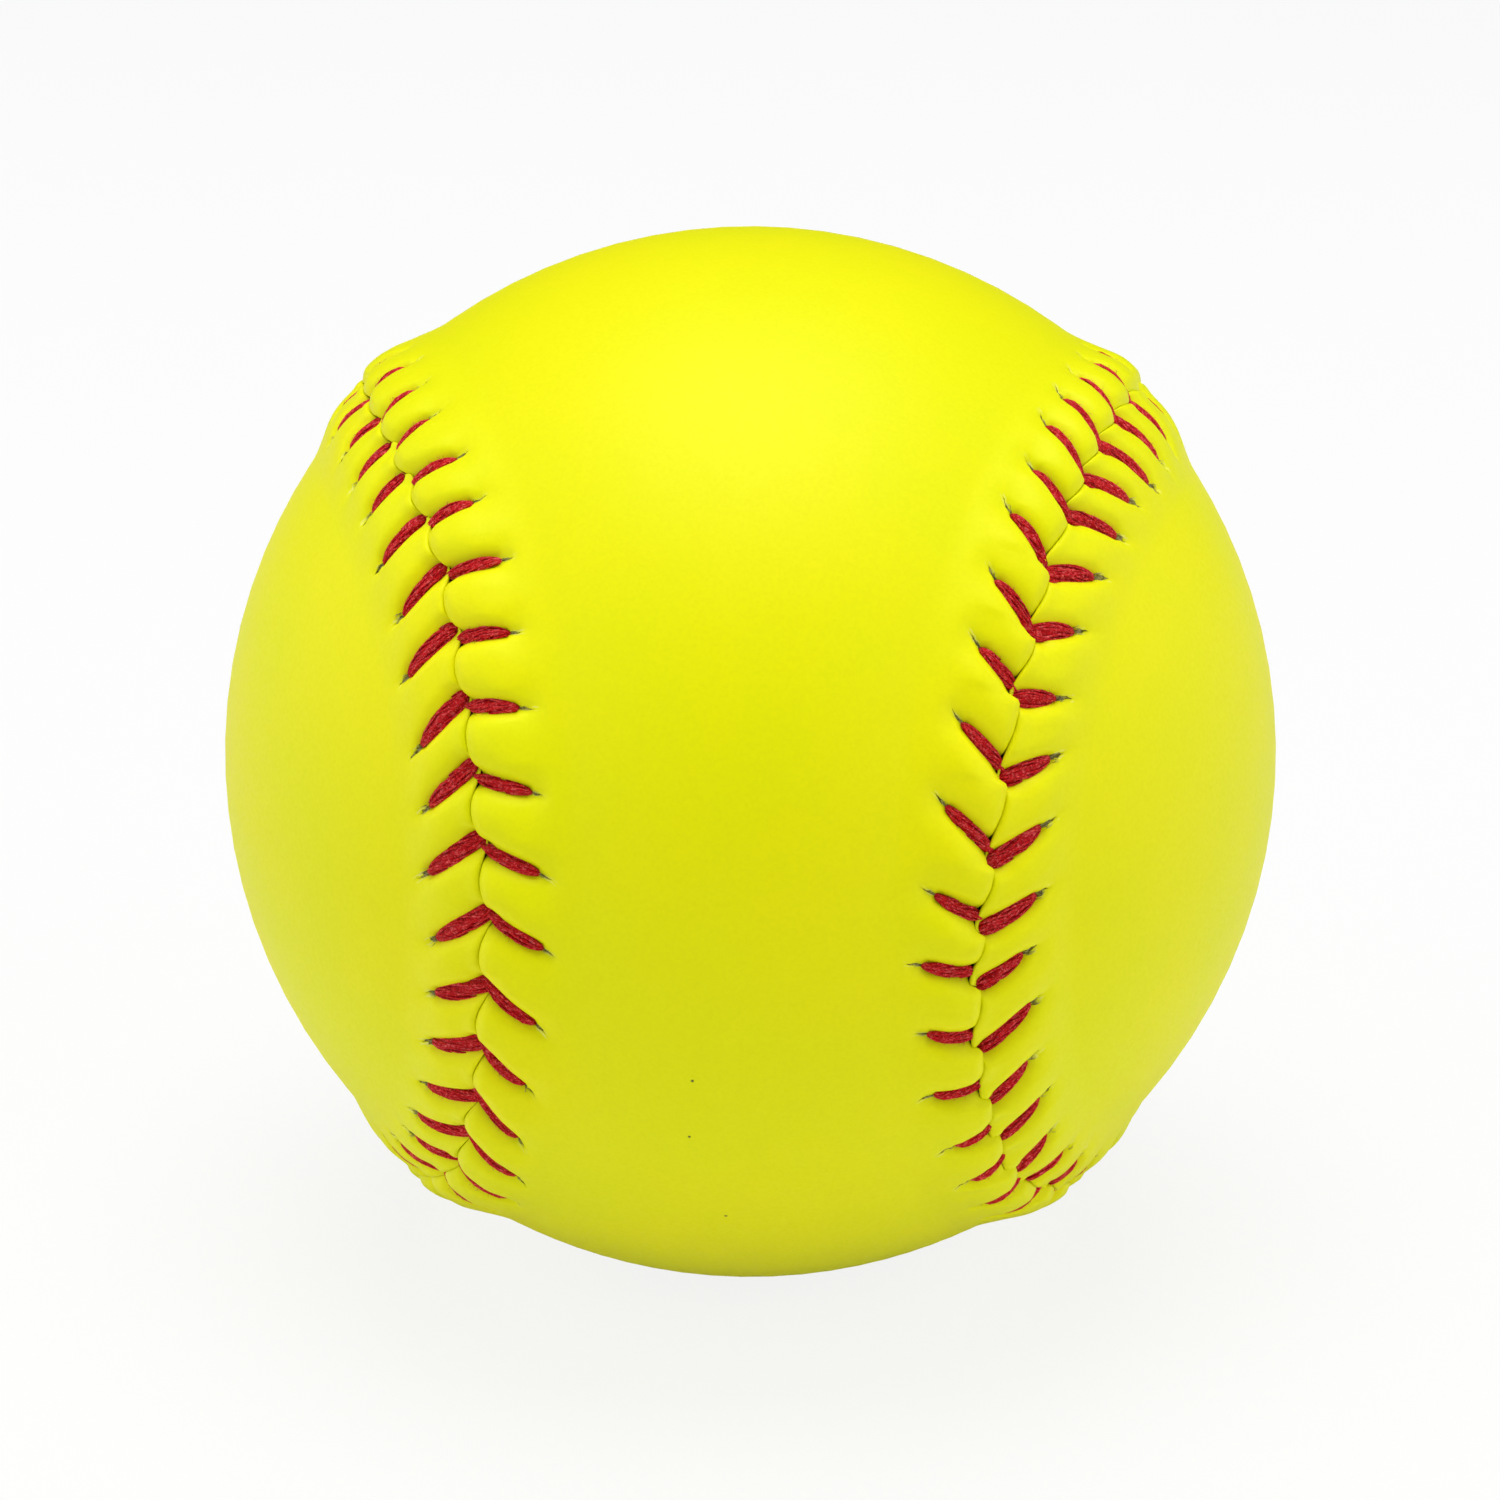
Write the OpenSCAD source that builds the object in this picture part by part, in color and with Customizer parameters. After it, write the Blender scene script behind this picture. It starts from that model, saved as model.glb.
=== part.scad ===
// Softball with a raised seam: a moulded core, its cement coat, two figure-eight cover panels that are each
// a leather skin on a fabric backing, and the two threads that sew the panels together.
// The origin is the ball's centre. The waist of the front panel faces -Y, its lobes face +Z and -Z,
// and the lobes of the back panel face +X and -X.

/* [Ball] */
// Diameter over the smooth part of the cover
ball_d = 97; // [88:0.5:103]

/* [Core] */
// Thickness of the latex cement coat on the core
cement_t = 0.25; // [0.15:0.05:0.5]
// Bond line between one layer and the next
bond_line = 0.03; // [0.02:0.01:0.1]

/* [Cover] */
// Thickness of the leather skin
skin_t = 1.3; // [0.9:0.1:1.8]
// Thickness of the fabric backing
backing_t = 0.6; // [0.4:0.1:1]
// Depth by which the edge of the skin rolls over into the seam
rim_drop = 0.5; // [0.2:0.05:0.8]
// Width of the rolled edge of the skin
rim_roll = 1.4; // [0.8:0.1:2]
// Width of the slope on which the raised band falls to the smooth cover
ridge_slope = 3; // [2:0.1:4.5]

/* [Seam] */
// How far the seam swings from side to side, the share of the third harmonic
seam_swing = 0.43; // [0.38:0.005:0.48]
// Fullness of the lobes, the fifth harmonic
seam_fill = 0.032; // [0:0.002:0.05]
// Clearance of the threads to each panel edge where they dive into the seam
seam_clearance = 0.16; // [0.12:0.02:0.3]

/* [Stitching] */
// Stations along the seam, each with one leg on either panel
stitch_count = 88; // [76:4:96]
// Diameter of the waxed thread where it is drawn tight, under the cover and in the seam
thread_d = 0.9; // [0.7:0.05:1.1]
// Width of a leg in its middle, where the thread spreads on the cover
leg_w = 1.3; // [0.9:0.05:1.5]
// Distance of the needle holes from the seam
hole_inset = 4.7; // [4:0.1:6]
// How far along the seam the needle holes lie from the point where their legs dive
stitch_lead = 2.5; // [1.5:0.1:3.5]
// Clearance round a thread in its needle hole
hole_clearance = 0.2; // [0.15:0.01:0.35]
// Clearance between a thread and the cover or the cement coat
thread_clearance = 0.05; // [0.04:0.01:0.12]
// Free space between the two threads that dive at one station
cross_clearance = 0.5; // [0.4:0.05:0.7]

/* [Hidden] */

yellow = [0.86, 0.91, 0.05];
backing_gray = [0.33, 0.34, 0.33];
crimson = [0.7, 0.1, 0.18];
latex_tan = [0.85, 0.76, 0.55];
core_white = [0.93, 0.92, 0.88];

// Side of the seam on which something lies
front = 1;
back = -1;

// How finely the shapes are drawn: sides of a thread, rows of facets from the raised band to a panel's middle line,
// steps in the table of the seam's length, the step in degrees that gives its heading, and round facets
thread_sides = 5;
field_rows = 5;
table_steps = 720;
heading_step = 0.01;
round_fn = 96;
hole_fn = 16;

// Middle row of the rolled edge of a skin, as shares of the roll's width and drop
roll_share = 0.4;
roll_drop_share = 0.3;

// Width of a leg where it passes over a panel's edge, as a share of its width in the middle
leg_edge_share = 0.85;

// Share of a thread's last hidden run that each of its two ends covers
tail_share = 0.4;

// Longest stretch of a ring at a bend, so that the tube stays whole there
mitre_limit = 1.4;

// Radii of the layers, from the cover inwards
cover_r = ball_d / 2;
skin_in_r = cover_r - skin_t;
backing_in_r = skin_in_r - backing_t;
seam_a = 1 / (1 + seam_swing);
seam_b = seam_swing * seam_a;
seam_table = [
    for (i = 0, run = 0; i <= table_steps; run = run + step_length(i), i = i + 1)
        [run, 360 * i / table_steps]];
seam_run = seam_table[table_steps][0];
seam_length = seam_run * cover_r;
pitch = seam_length / stitch_count;

// Places on a panel's middle line, as angles from -Y: the centre of its lobe, and the lobe's tip on the seam
lobe_turn = 101;
lobe_tip_turn = atan2(seam_dir(90).z, -seam_dir(90).y);

// Widths from the seam: the gap between the panels, the raised band over the hidden runs, and its slope
gap_half = thread_d / 2 + seam_clearance;
hole_r = thread_d / 2 + hole_clearance;
cross_offset = (thread_d + cross_clearance) / 2;
band_w = hole_inset + hole_r + thread_clearance;
ridge_w = band_w + ridge_slope;

// Sag of the largest flat facet of a panel below the round surface. The panels' points lie further out, so that
// the backing stays clear of the round cement coat, and the cover has its true diameter between points and facets.
field_step = ((lobe_tip_turn - lobe_turn) * PI / 180 * cover_r - ridge_w) / field_rows;
facet_sag = (pow(pitch, 2) + pow(field_step, 2)) / (8 * backing_in_r);
cover_points_r = cover_r + facet_sag / 2;
cement_r = backing_in_r - bond_line - facet_sag;
core_r = cement_r - cement_t;

// Levels of the thread and of the raised band that lies over its hidden runs. A hidden run is straight, so it
// lies higher by its own sag, and so does a half leg.
run_length = norm([hole_inset, pitch - stitch_lead + cross_offset]);
run_sag = pow(run_length, 2) / (8 * cover_r);
leg_sag = pow(hole_inset / 2, 2) / (8 * cover_r);
under_r = cement_r + run_sag + thread_clearance + thread_d / 2;
lift = thread_d + 2 * thread_clearance;
crest_r = cover_r + lift;
leg_r = crest_r + leg_sag + thread_clearance + thread_d / 2;

// Level at which a thread starts its dive, so that on its way there it clears the rolled edge's middle row
roll_mid = gap_half + rim_roll * roll_share;
roll_mid_r = crest_r - rim_drop * roll_drop_share;
roll_along = roll_mid / (gap_half + rim_roll);
dive_r = (roll_mid_r + 2 * thread_clearance + thread_d / 2 - leg_r * roll_along) / (1 - roll_along);

// Stations in a quarter of the seam, and how many of them meet the panel's middle line before its lobe's centre
quarter = stitch_count / 4;
free_count = len([for (h = [0 : quarter - 1]) if (medial_turn(h) < lobe_turn) h]);

// Seam: a closed curve on the ball, given by an angle of 0 to 360 degrees. It is 0 at the right edge of the front
// panel's waist, and grows upwards there.
function unit(v) = v / norm(v);
function seam_dir(t) = unit([
    seam_a * cos(t) - seam_b * cos(3 * t) + seam_fill * cos(5 * t),
    -2 * sqrt(seam_a * seam_b) * cos(2 * t),
    seam_a * sin(t) + seam_b * sin(3 * t) + seam_fill * sin(5 * t)]);
function seam_heading(t) = unit(seam_dir(t + heading_step) - seam_dir(t - heading_step));
function step_length(i) =
    norm(seam_dir(360 * (i + 1) / table_steps) - seam_dir(360 * i / table_steps));

// Angle of the seam at a length along it, in millimetres on the cover
function wrap(s) = s - seam_length * floor(s / seam_length);
function seam_turn(s) = lookup(wrap(s) / cover_r, seam_table);

// Direction of the point at a length along the seam and a distance from it, positive on the front panel
function cover_dir(s, inset) =
    let (
        t = seam_turn(s),
        across = cross(seam_dir(t), seam_heading(t)),
        swing = to_degrees(inset))
    seam_dir(t) * cos(swing) + across * sin(swing);
function to_degrees(length) = length / cover_r * 180 / PI;

// Place of a station along the seam. The waist's narrowest point lies halfway between two stations.
function station(i) = (i + 0.5) * pitch;

// Middle line of the front panel: an arc in the plane X = 0 between the centres of its lobes. A station h of the
// upper right quarter meets it at this angle, measured from -Y.
function medial_turn(h) =
    let (d = cover_dir(station(h), 0)) atan2(d.z, -d.y);
function medial_dir(turn) = [0, -cos(turn), sin(turn)];

// Signed number of a station on the right half, and of its mirror image on the left half
function right_number(j) =
    j < quarter ? j : j < 3 * quarter ? 2 * quarter - 1 - j : j - 4 * quarter;
function medial_index(j) = min(max(right_number(j) + free_count + 1, 0), 2 * free_count + 1);
function medial_point_turn(k) =
    k == 0 ? -lobe_turn
    : k == 2 * free_count + 1 ? lobe_turn
    : k > free_count ? medial_turn(k - free_count - 1)
    : -medial_turn(free_count - k);

// Rows of points that make one surface of a panel: fine rows in the seam's raised band, two points to a stitch,
// then coarse rows with one point to a stitch, and at last the middle line
function fine_row(inset, r) =
    [for (k = [0 : 2 * stitch_count - 1]) r * cover_dir(station(k / 2), inset)];
function coarse_row(inset, r) =
    [for (j = [0 : stitch_count - 1]) r * cover_dir(station(j), inset)];
function field_row(share, r) = [
    for (j = [0 : stitch_count - 1])
        r * unit(
            (1 - share) * cover_dir(station(j), ridge_w)
            + share * medial_dir(medial_point_turn(medial_index(j))))];
function medial_row(r) =
    [for (k = [0 : 2 * free_count + 1]) r * medial_dir(medial_point_turn(k))];
function field(r) = [
    for (i = [1 : field_rows - 1]) field_row(i / field_rows, r),
    medial_row(r)];

// Triangles between two rows of points, given by the numbers of their first points. The second row may have half
// as many points as the first.
function even_band(a, b, n) = [
    for (j = [0 : n - 1])
        let (k = (j + 1) % n)
        each [[a + j, a + k, b + j], [a + k, b + k, b + j]]];
function halving_band(a, b, n) = [
    for (j = [0 : n - 1])
        let (k = (j + 1) % n, f = a + 2 * j, m = f + 1, e = a + 2 * k)
        each [[f, m, b + j], [m, b + k, b + j], [m, e, b + k]]];
function medial_band(a, b, n) = [
    for (j = [0 : n - 1])
        let (k = (j + 1) % n, p = b + medial_index(j), q = b + medial_index(k))
        each p == q
            ? [[a + j, a + k, p]]
            : [[a + j, a + k, p], [a + k, q, p]]];
function band(a, b, n_a, n_b) =
    n_a == n_b ? even_band(a, b, n_a)
    : n_a == 2 * n_b ? halving_band(a, b, n_b)
    : medial_band(a, b, n_a);
function turned(faces) = [for (f = faces) [f[0], f[2], f[1]]];

// Number of the first point of each row
function row_starts(rows) = [
    for (i = 0, n = 0; i < len(rows); n = n + len(rows[i]), i = i + 1) n];

// Closed shell between an outer and an inner surface, each a list of rows from the seam to the middle line
module panel_shell(outer, inner) {
    rows = concat(outer, inner);
    starts = row_starts(rows);
    split = len(outer);
    bands = [
        for (i = [0 : len(rows) - 2])
            if (i != split - 1)
                let (faces = band(starts[i], starts[i + 1], len(rows[i]), len(rows[i + 1])))
                each i < split ? turned(faces) : faces];
    rim = band(starts[0], starts[split], len(outer[0]), len(inner[0]));
    polyhedron([for (row = rows) each row], concat(bands, rim), convexity = 6);
}

function skin_outer() = concat(
    [fine_row(gap_half, crest_r - rim_drop)],
    [fine_row(roll_mid, roll_mid_r)],
    [fine_row(gap_half + rim_roll, crest_r)],
    [fine_row(band_w, crest_r)],
    [coarse_row(ridge_w, cover_points_r)],
    field(cover_points_r));
function layer_rows(r) = concat(
    [coarse_row(gap_half, r + lift)],
    [coarse_row(band_w, r + lift)],
    [coarse_row(ridge_w, r)],
    field(r));

// A panel's blank. Both panels are cut from one pattern: half a turn about the line X = Z takes one to the other.
module blank(side) {
    if (side == front) children();
    else rotate(180, [1, 0, 1]) children();
}

// Needle holes of one panel, square to the cover, from inside the cement coat to above the threads
module needle_holes(side) {
    for (i = [0 : stitch_count - 1]) {
        d = cover_dir(station(i) + stitch_lead, side * hole_inset);
        rotate([0, acos(d.z), atan2(d.y, d.x)])
            translate([0, 0, core_r])
                cylinder(h = leg_r + thread_d - core_r, r = hole_r, $fn = hole_fn);
    }
}

module panel_skin(side) {
    color(yellow)
        difference() {
            blank(side) panel_shell(skin_outer(), layer_rows(skin_in_r));
            needle_holes(side);
        }
}

module panel_backing(side) {
    color(backing_gray)
        difference() {
            blank(side) panel_shell(layer_rows(skin_in_r), layer_rows(backing_in_r));
            needle_holes(side);
        }
}

module core() {
    color(core_white) sphere(r = core_r, $fn = round_fn);
}

module cement_coat() {
    color(latex_tan)
        difference() {
            sphere(r = cement_r, $fn = round_fn);
            sphere(r = core_r + bond_line, $fn = round_fn);
        }
}

// Route of a thread at one station: up through the needle hole of this side, across the panel to the seam, and
// down between the panels. The hidden run to the next needle hole, on the other side, follows.
function stitch_points(i, side) =
    let (
        hole_s = station(i) + stitch_lead,
        dive_s = station(i) + side * cross_offset,
        edge = gap_half + rim_roll,
        edge_s = dive_s + (hole_s - dive_s) * edge / hole_inset)
    [
        under_r * cover_dir(hole_s, side * hole_inset),
        leg_r * cover_dir(hole_s, side * hole_inset),
        leg_r * cover_dir((hole_s + edge_s) / 2, side * (hole_inset + edge) / 2),
        leg_r * cover_dir(edge_s, side * edge),
        dive_r * cover_dir(dive_s, 0),
        under_r * cover_dir(dive_s, 0)];

// Half widths of the thread at these points
leg_half_widths = [
    thread_d / 2, thread_d / 2, leg_w / 2, leg_w / 2 * leg_edge_share, thread_d / 2, thread_d / 2];
points_per_stitch = len(leg_half_widths);

// Both threads run against the seam's direction and change sides at each station. The ends of a thread are tucked
// under the cover, apart from each other, on the last hidden run.
function thread_stitches(start_side) = [
    for (i = [0 : stitch_count - 1])
        let (k = stitch_count - 1 - i)
        each stitch_points(k, (k % 2 == 0 ? 1 : -1) * start_side)];
function between(p, q, share) = p * (1 - share) + q * share;
function thread_route(start_side) =
    let (
        stitches = thread_stitches(start_side),
        first = stitches[0],
        last = stitches[len(stitches) - 1])
    concat([between(last, first, 1 - tail_share)], stitches, [between(last, first, tail_share)]);
function half_width(i) =
    i % points_per_stitch == 0 ? thread_d / 2 : leg_half_widths[(i - 1) % points_per_stitch];

// One ring of a thread, in the plane that halves the bend of its route there. Its side axis lies level on the
// cover and always points against the seam's direction, so that the thread doesn't twist.
function ring(route, i) =
    let (
        p = route[i],
        before = route[max(i - 1, 0)],
        after = route[min(i + 1, len(route) - 1)],
        into = i == 0 ? unit(after - p) : unit(p - before),
        away = i == len(route) - 1 ? into : unit(after - p),
        out = unit(p),
        level = (after - before) - out * ((after - before) * out),
        flat_side = unit(cross(out, level)),
        k = stitch_count - 1 - floor(max(i - 1, 0) / points_per_stitch),
        side = flat_side * (flat_side * seam_heading(seam_turn(station(k))) < 0 ? 1 : -1),
        up = unit(cross(into + away, side)),
        mitre = min(mitre_limit, 2 / norm(into + away)))
    [for (j = [0 : thread_sides - 1])
        let (a = 360 * j / thread_sides)
        p + side * half_width(i) * sin(a) + up * thread_d / 2 * mitre * cos(a)];

module thread(start_side) {
    route = thread_route(start_side);
    n = len(route);
    points = [for (i = [0 : n - 1]) each ring(route, i)];
    sides = [
        for (i = [0 : n - 2], j = [0 : thread_sides - 1])
            let (
                a = i * thread_sides + j,
                b = i * thread_sides + (j + 1) % thread_sides,
                c = a + thread_sides,
                d = b + thread_sides)
            each [[a, b, c], [b, d, c]]];
    start_cap = [for (j = [1 : thread_sides]) thread_sides - j];
    end_cap = [for (j = [0 : thread_sides - 1]) (n - 1) * thread_sides + j];
    color(crimson) polyhedron(points, concat(sides, [start_cap, end_cap]), convexity = 10);
}

core();
cement_coat();
panel_backing(front);  // front_panel_backing
panel_skin(front);  // front_panel_skin
panel_backing(back);  // back_panel_backing
panel_skin(back);  // back_panel_skin
thread(front);  // first_thread
thread(back);  // second_thread
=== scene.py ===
"""Softball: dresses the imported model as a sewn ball.

Lengths are millimetres until a mesh is placed, and metres in every mesh. The frame is the model's: the origin is the
ball's centre, the waist of the front panel faces -Y and the lobes of the back panel face +X and -X.
"""

import logging
import math
from dataclasses import dataclass, field
from enum import Enum

import bmesh
import bpy
import numpy as np
from mathutils import Matrix, Vector


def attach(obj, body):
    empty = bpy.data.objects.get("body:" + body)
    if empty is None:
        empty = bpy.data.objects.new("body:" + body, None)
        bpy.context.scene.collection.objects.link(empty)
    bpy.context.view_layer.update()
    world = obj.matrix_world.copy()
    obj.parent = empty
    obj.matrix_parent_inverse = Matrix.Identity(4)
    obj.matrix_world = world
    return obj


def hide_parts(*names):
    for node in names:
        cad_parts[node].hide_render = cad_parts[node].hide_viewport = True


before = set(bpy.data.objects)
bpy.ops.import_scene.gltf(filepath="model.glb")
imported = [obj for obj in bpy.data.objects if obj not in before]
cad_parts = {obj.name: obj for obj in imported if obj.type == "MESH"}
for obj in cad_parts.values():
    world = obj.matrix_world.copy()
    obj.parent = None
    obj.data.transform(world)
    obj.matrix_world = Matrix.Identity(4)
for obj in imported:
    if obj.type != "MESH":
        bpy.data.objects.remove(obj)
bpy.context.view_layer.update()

LOG = logging.getLogger("softball")
MM = 0.001
BODY = "root"
FAR = 99.0  # stands for a place far from every needle hole
NEIGHBOURS = (-2, -1, 0, 1)  # stations whose stitches reach a point, counted from the one before it

Array = np.ndarray
Socket = bpy.types.NodeSocket
Material = bpy.types.Material
Piece = bpy.types.Object
Triple = tuple[float, float, float]
Value = float | Triple | Socket


class Side(Enum):
    """The two panels of the cover. The value is the sign of a distance from the seam on that panel."""

    FRONT = 1
    BACK = -1

    @property
    def other(self) -> "Side":
        """The panel across the seam."""
        return Side(-self.value)


PerSide = dict[Side, float]


def per_side(front: float, back: float) -> PerSide:
    """A dataclass field with one value for each panel."""
    return field(default_factory=lambda: {Side.FRONT: front, Side.BACK: back})


def smooth(x: Array) -> Array:
    """Smooth step from 0 to 1 while x goes from 0 to 1."""
    x = np.clip(x, 0, 1)
    return x * x * (3 - 2 * x)


def unit(v: Array) -> Array:
    """Vectors of length 1 along the last axis."""
    return v / np.linalg.norm(v, axis=-1, keepdims=True)


def turned(v: Array) -> Array:
    """Half a turn about the line X = Z, which takes one panel to the other."""
    return np.stack([v[..., 2], -v[..., 1], v[..., 0]], -1)


@dataclass
class Seam:
    """The seam's line on the ball, and places given by a length along it and a distance from it."""

    ball_r: float = 48.5
    # The curve: how far it swings to and fro, how full its lobes are, and its number of steps.
    swing: float = 0.43
    fill: float = 0.032
    steps: int = 14400
    # Degrees from a panel's waist to the end of its middle line, and the share of the length that lies leftmost.
    lobe_turn: float = 130.0
    left_at: float = 0.47
    length: float = field(init=False)
    turns: Array = field(init=False)
    runs: Array = field(init=False)

    def __post_init__(self) -> None:
        """Measures the seam's length."""
        self.turns = np.linspace(0, 2 * math.pi, self.steps + 1)
        line = self.direction(self.turns)
        steps = np.linalg.norm(np.diff(line, axis=0), axis=1)
        self.runs = np.concatenate([[0], np.cumsum(steps)]) * self.ball_r
        self.length = float(self.runs[-1])

    def direction(self, turn: Array) -> Array:
        """Directions of points of the seam from the ball's centre.

        Args:
            turn: Their angles round the seam.

        Returns:
            Unit vectors, one for each angle.
        """
        a = 1 / (1 + self.swing)
        b = self.swing * a
        return unit(np.stack([
            a * np.cos(turn) - b * np.cos(3 * turn) + self.fill * np.cos(5 * turn),
            -2 * math.sqrt(a * b) * np.cos(2 * turn),
            a * np.sin(turn) + b * np.sin(3 * turn) + self.fill * np.sin(5 * turn)], -1))

    def turn_at(self, s: Array) -> Array:
        """Angle of the seam's point at a length along it."""
        return np.interp(np.mod(s, self.length), self.runs, self.turns)

    def heading(self, s: Array) -> Array:
        """Direction in which the seam runs at a length along it."""
        turn = self.turn_at(s)
        return unit(self.direction(turn + 1e-4) - self.direction(turn - 1e-4))

    def leftness(self, s: Array) -> Array:
        """How far to the camera's left a length along the seam lies, from 0 to 1."""
        return 0.5 + 0.5 * np.cos(2 * math.pi * (s / self.length - self.left_at))

    def place(self, s: Array, inset: Array) -> Array:
        """Directions of points on the ball.

        Args:
            s: Lengths along the seam.
            inset: Distances from the seam, positive on the front panel.

        Returns:
            Unit vectors, one for each pair.
        """
        s, inset = np.broadcast_arrays(s, inset)
        on_seam = self.direction(self.turn_at(s))
        across = np.cross(on_seam, self.heading(s))
        swing = (inset / self.ball_r)[..., None]
        return on_seam * np.cos(swing) + across * np.sin(swing)

    def middle(self, s: Array, side: Side) -> Array:
        """Directions of the points of a panel's middle line that lie inwards from points of the seam.

        Args:
            s: Lengths along the seam.
            side: The panel.

        Returns:
            Unit vectors, one for each length.
        """
        v = self.direction(self.turn_at(s))
        if side is Side.BACK:
            v = turned(v)
        tip = self.direction(np.array(math.pi / 2))
        share = math.radians(self.lobe_turn) / math.atan2(tip[2], -tip[1])
        turn = np.arctan2(v[..., 2], -v[..., 1]) * share
        line = np.stack([np.zeros_like(turn), -np.cos(turn), np.sin(turn)], -1)
        return turned(line) if side is Side.BACK else line


# Stitches that face the camera, from where they lie on the ball. For each station of the seam, in tenths of a
# millimetre: where the front panel's leg crosses the seam, where its needle hole lies along the seam and in from it,
# the same three of the back panel's leg, and how far the crease lies from the seam's own line.
SEEN = {
    34: (36, 35, 38, 22, 24, 39, 2), 35: (34, 30, 36, 15, 21, 44, 3), 36: (27, 35, 42, 8, 17, 44, 3),
    37: (22, 27, 42, 8, 21, 51, 4), 38: (17, 27, 51, 5, 27, 47, 7), 39: (16, 26, 44, 2, 28, 54, 5),
    40: (14, 24, 42, 1, 38, 51, 3), 41: (12, 28, 45, -2, 35, 50, 3), 42: (9, 30, 47, -1, 38, 56, 4),
    43: (6, 30, 48, 2, 41, 49, 7), 44: (7, 37, 42, 8, 40, 50, 4), 45: (13, 41, 36, 10, 42, 51, 1),
    46: (8, 49, 37, 16, 48, 51, 1), 47: (11, 47, 46, 14, 51, 53, -1), 48: (21, 40, 50, 14, 41, 46, 2),
    82: (25, 24, 40, 7, 16, 41, 3), 83: (28, 19, 38, -15, 16, 37, 5), 84: (20, 14, 40, -8, 19, 40, 7),
    85: (14, 17, 49, -15, 16, 34, 9), 86: (8, 19, 51, -11, 20, 40, 13), 87: (8, 20, 55, -7, 15, 32, 13),
    0: (-5, 16, 46, -17, 9, 43, 11), 1: (-10, 24, 43, -21, 12, 42, 4), 2: (-3, 28, 39, -12, 15, 43, 0),
    3: (4, 28, 36, -3, 10, 38, 1), 4: (-4, 25, 38, -5, 18, 40, -1), 5: (-1, 26, 44, -9, 22, 42, 3),
    6: (-3, 19, 42, -1, 25, 47, 5), 7: (-11, 16, 50, -12, 16, 42, 7), 8: (-22, 5, 51, -16, 6, 50, 9),
    9: (-24, -2, 51, -17, -2, 46, 10), 10: (-20, -8, 50, -17, -12, 46, 9),
}
# Stations between the seen ones where the usual stitch is reached again.
USUAL_AT = (15, 29, 53, 77)


@dataclass
class Stitching:
    """Where every stitch of the seam lies. No two are alike, as on a ball sewn by hand.

    The usual stitch and the spread of the unseen ones have the same seven numbers as a seen one, in millimetres.
    """

    seam: Seam
    count: int = 88
    usual: tuple[float, ...] = (1.0, 2.6, 4.5, 0.1, 2.6, 4.5, 0.4)
    spread: tuple[float, ...] = (0.25, 0.45, 0.4, 0.25, 0.45, 0.4, 0.25)
    # The most that an unseen stitch strays, in spreads.
    most: float = 1.6
    # On the ball's right, where both legs dive closer together than this, the middle of the crossing shifts towards
    # the back panel's leg.
    close: float = 1.2
    close_fade: float = 0.6
    shift: float = 0.4
    # Widths of the legs, as shares of the usual one.
    broad: PerSide = per_side(1.0, 1.15)
    seed: int = 7
    # What follows from these: the step between stations, where crossings have their middles, where legs dive and have
    # their needle holes, where the crease lies at each crossing, and four random numbers for each station.
    pitch: float = field(init=False)
    centre: Array = field(init=False)
    dive: dict[Side, Array] = field(init=False)
    hole_s: dict[Side, Array] = field(init=False)
    hole_d: dict[Side, Array] = field(init=False)
    crease_at: Array = field(init=False)
    mood: Array = field(init=False)

    def __post_init__(self) -> None:
        """Sets the places, the seen ones as they lie and the others about as evenly."""
        rng = np.random.default_rng(self.seed)
        self.pitch = self.seam.length / self.count
        station = (np.arange(self.count) + 0.5) * self.pitch
        known = {k: np.array(row) / 10 for k, row in SEEN.items()} | {k: np.array(self.usual) for k in USUAL_AT}
        at = sorted(known)
        rows = np.stack([np.interp(np.arange(self.count), at, [known[k][column] for k in at], period=self.count)
                         for column in range(len(self.usual))], -1)
        loose = rng.normal(0, 1, rows.shape).clip(-self.most, self.most) * np.array(self.spread)
        loose[list(SEEN)] = 0
        rows = rows + loose
        self.dive = {Side.FRONT: station + rows[:, 0], Side.BACK: station + rows[:, 3]}
        self.hole_s = {Side.FRONT: station + rows[:, 1], Side.BACK: station + rows[:, 4]}
        self.hole_d = {Side.FRONT: rows[:, 2], Side.BACK: rows[:, 5]}
        right = 1 - self.seam.leftness(station)
        near = 1 - smooth((self.dive[Side.FRONT] - self.dive[Side.BACK] - self.close) / self.close_fade)
        share = 0.5 + self.shift * right * near
        self.centre = self.dive[Side.FRONT] * (1 - share) + self.dive[Side.BACK] * share
        self.crease_at = rows[:, 6]
        self.mood = rng.uniform(-1, 1, (self.count, 4))

    def near(self, s: Array, k: int) -> Array:
        """Numbers of the stations that lie k places after the ones before these lengths."""
        return np.mod(np.floor(s / self.pitch - 0.5).astype(int) + k, self.count)

    def along(self, s: Array, other: Array) -> Array:
        """How far s lies after other, the short way round the seam."""
        half = self.seam.length / 2
        return np.mod(s - other + half, self.seam.length) - half


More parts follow.
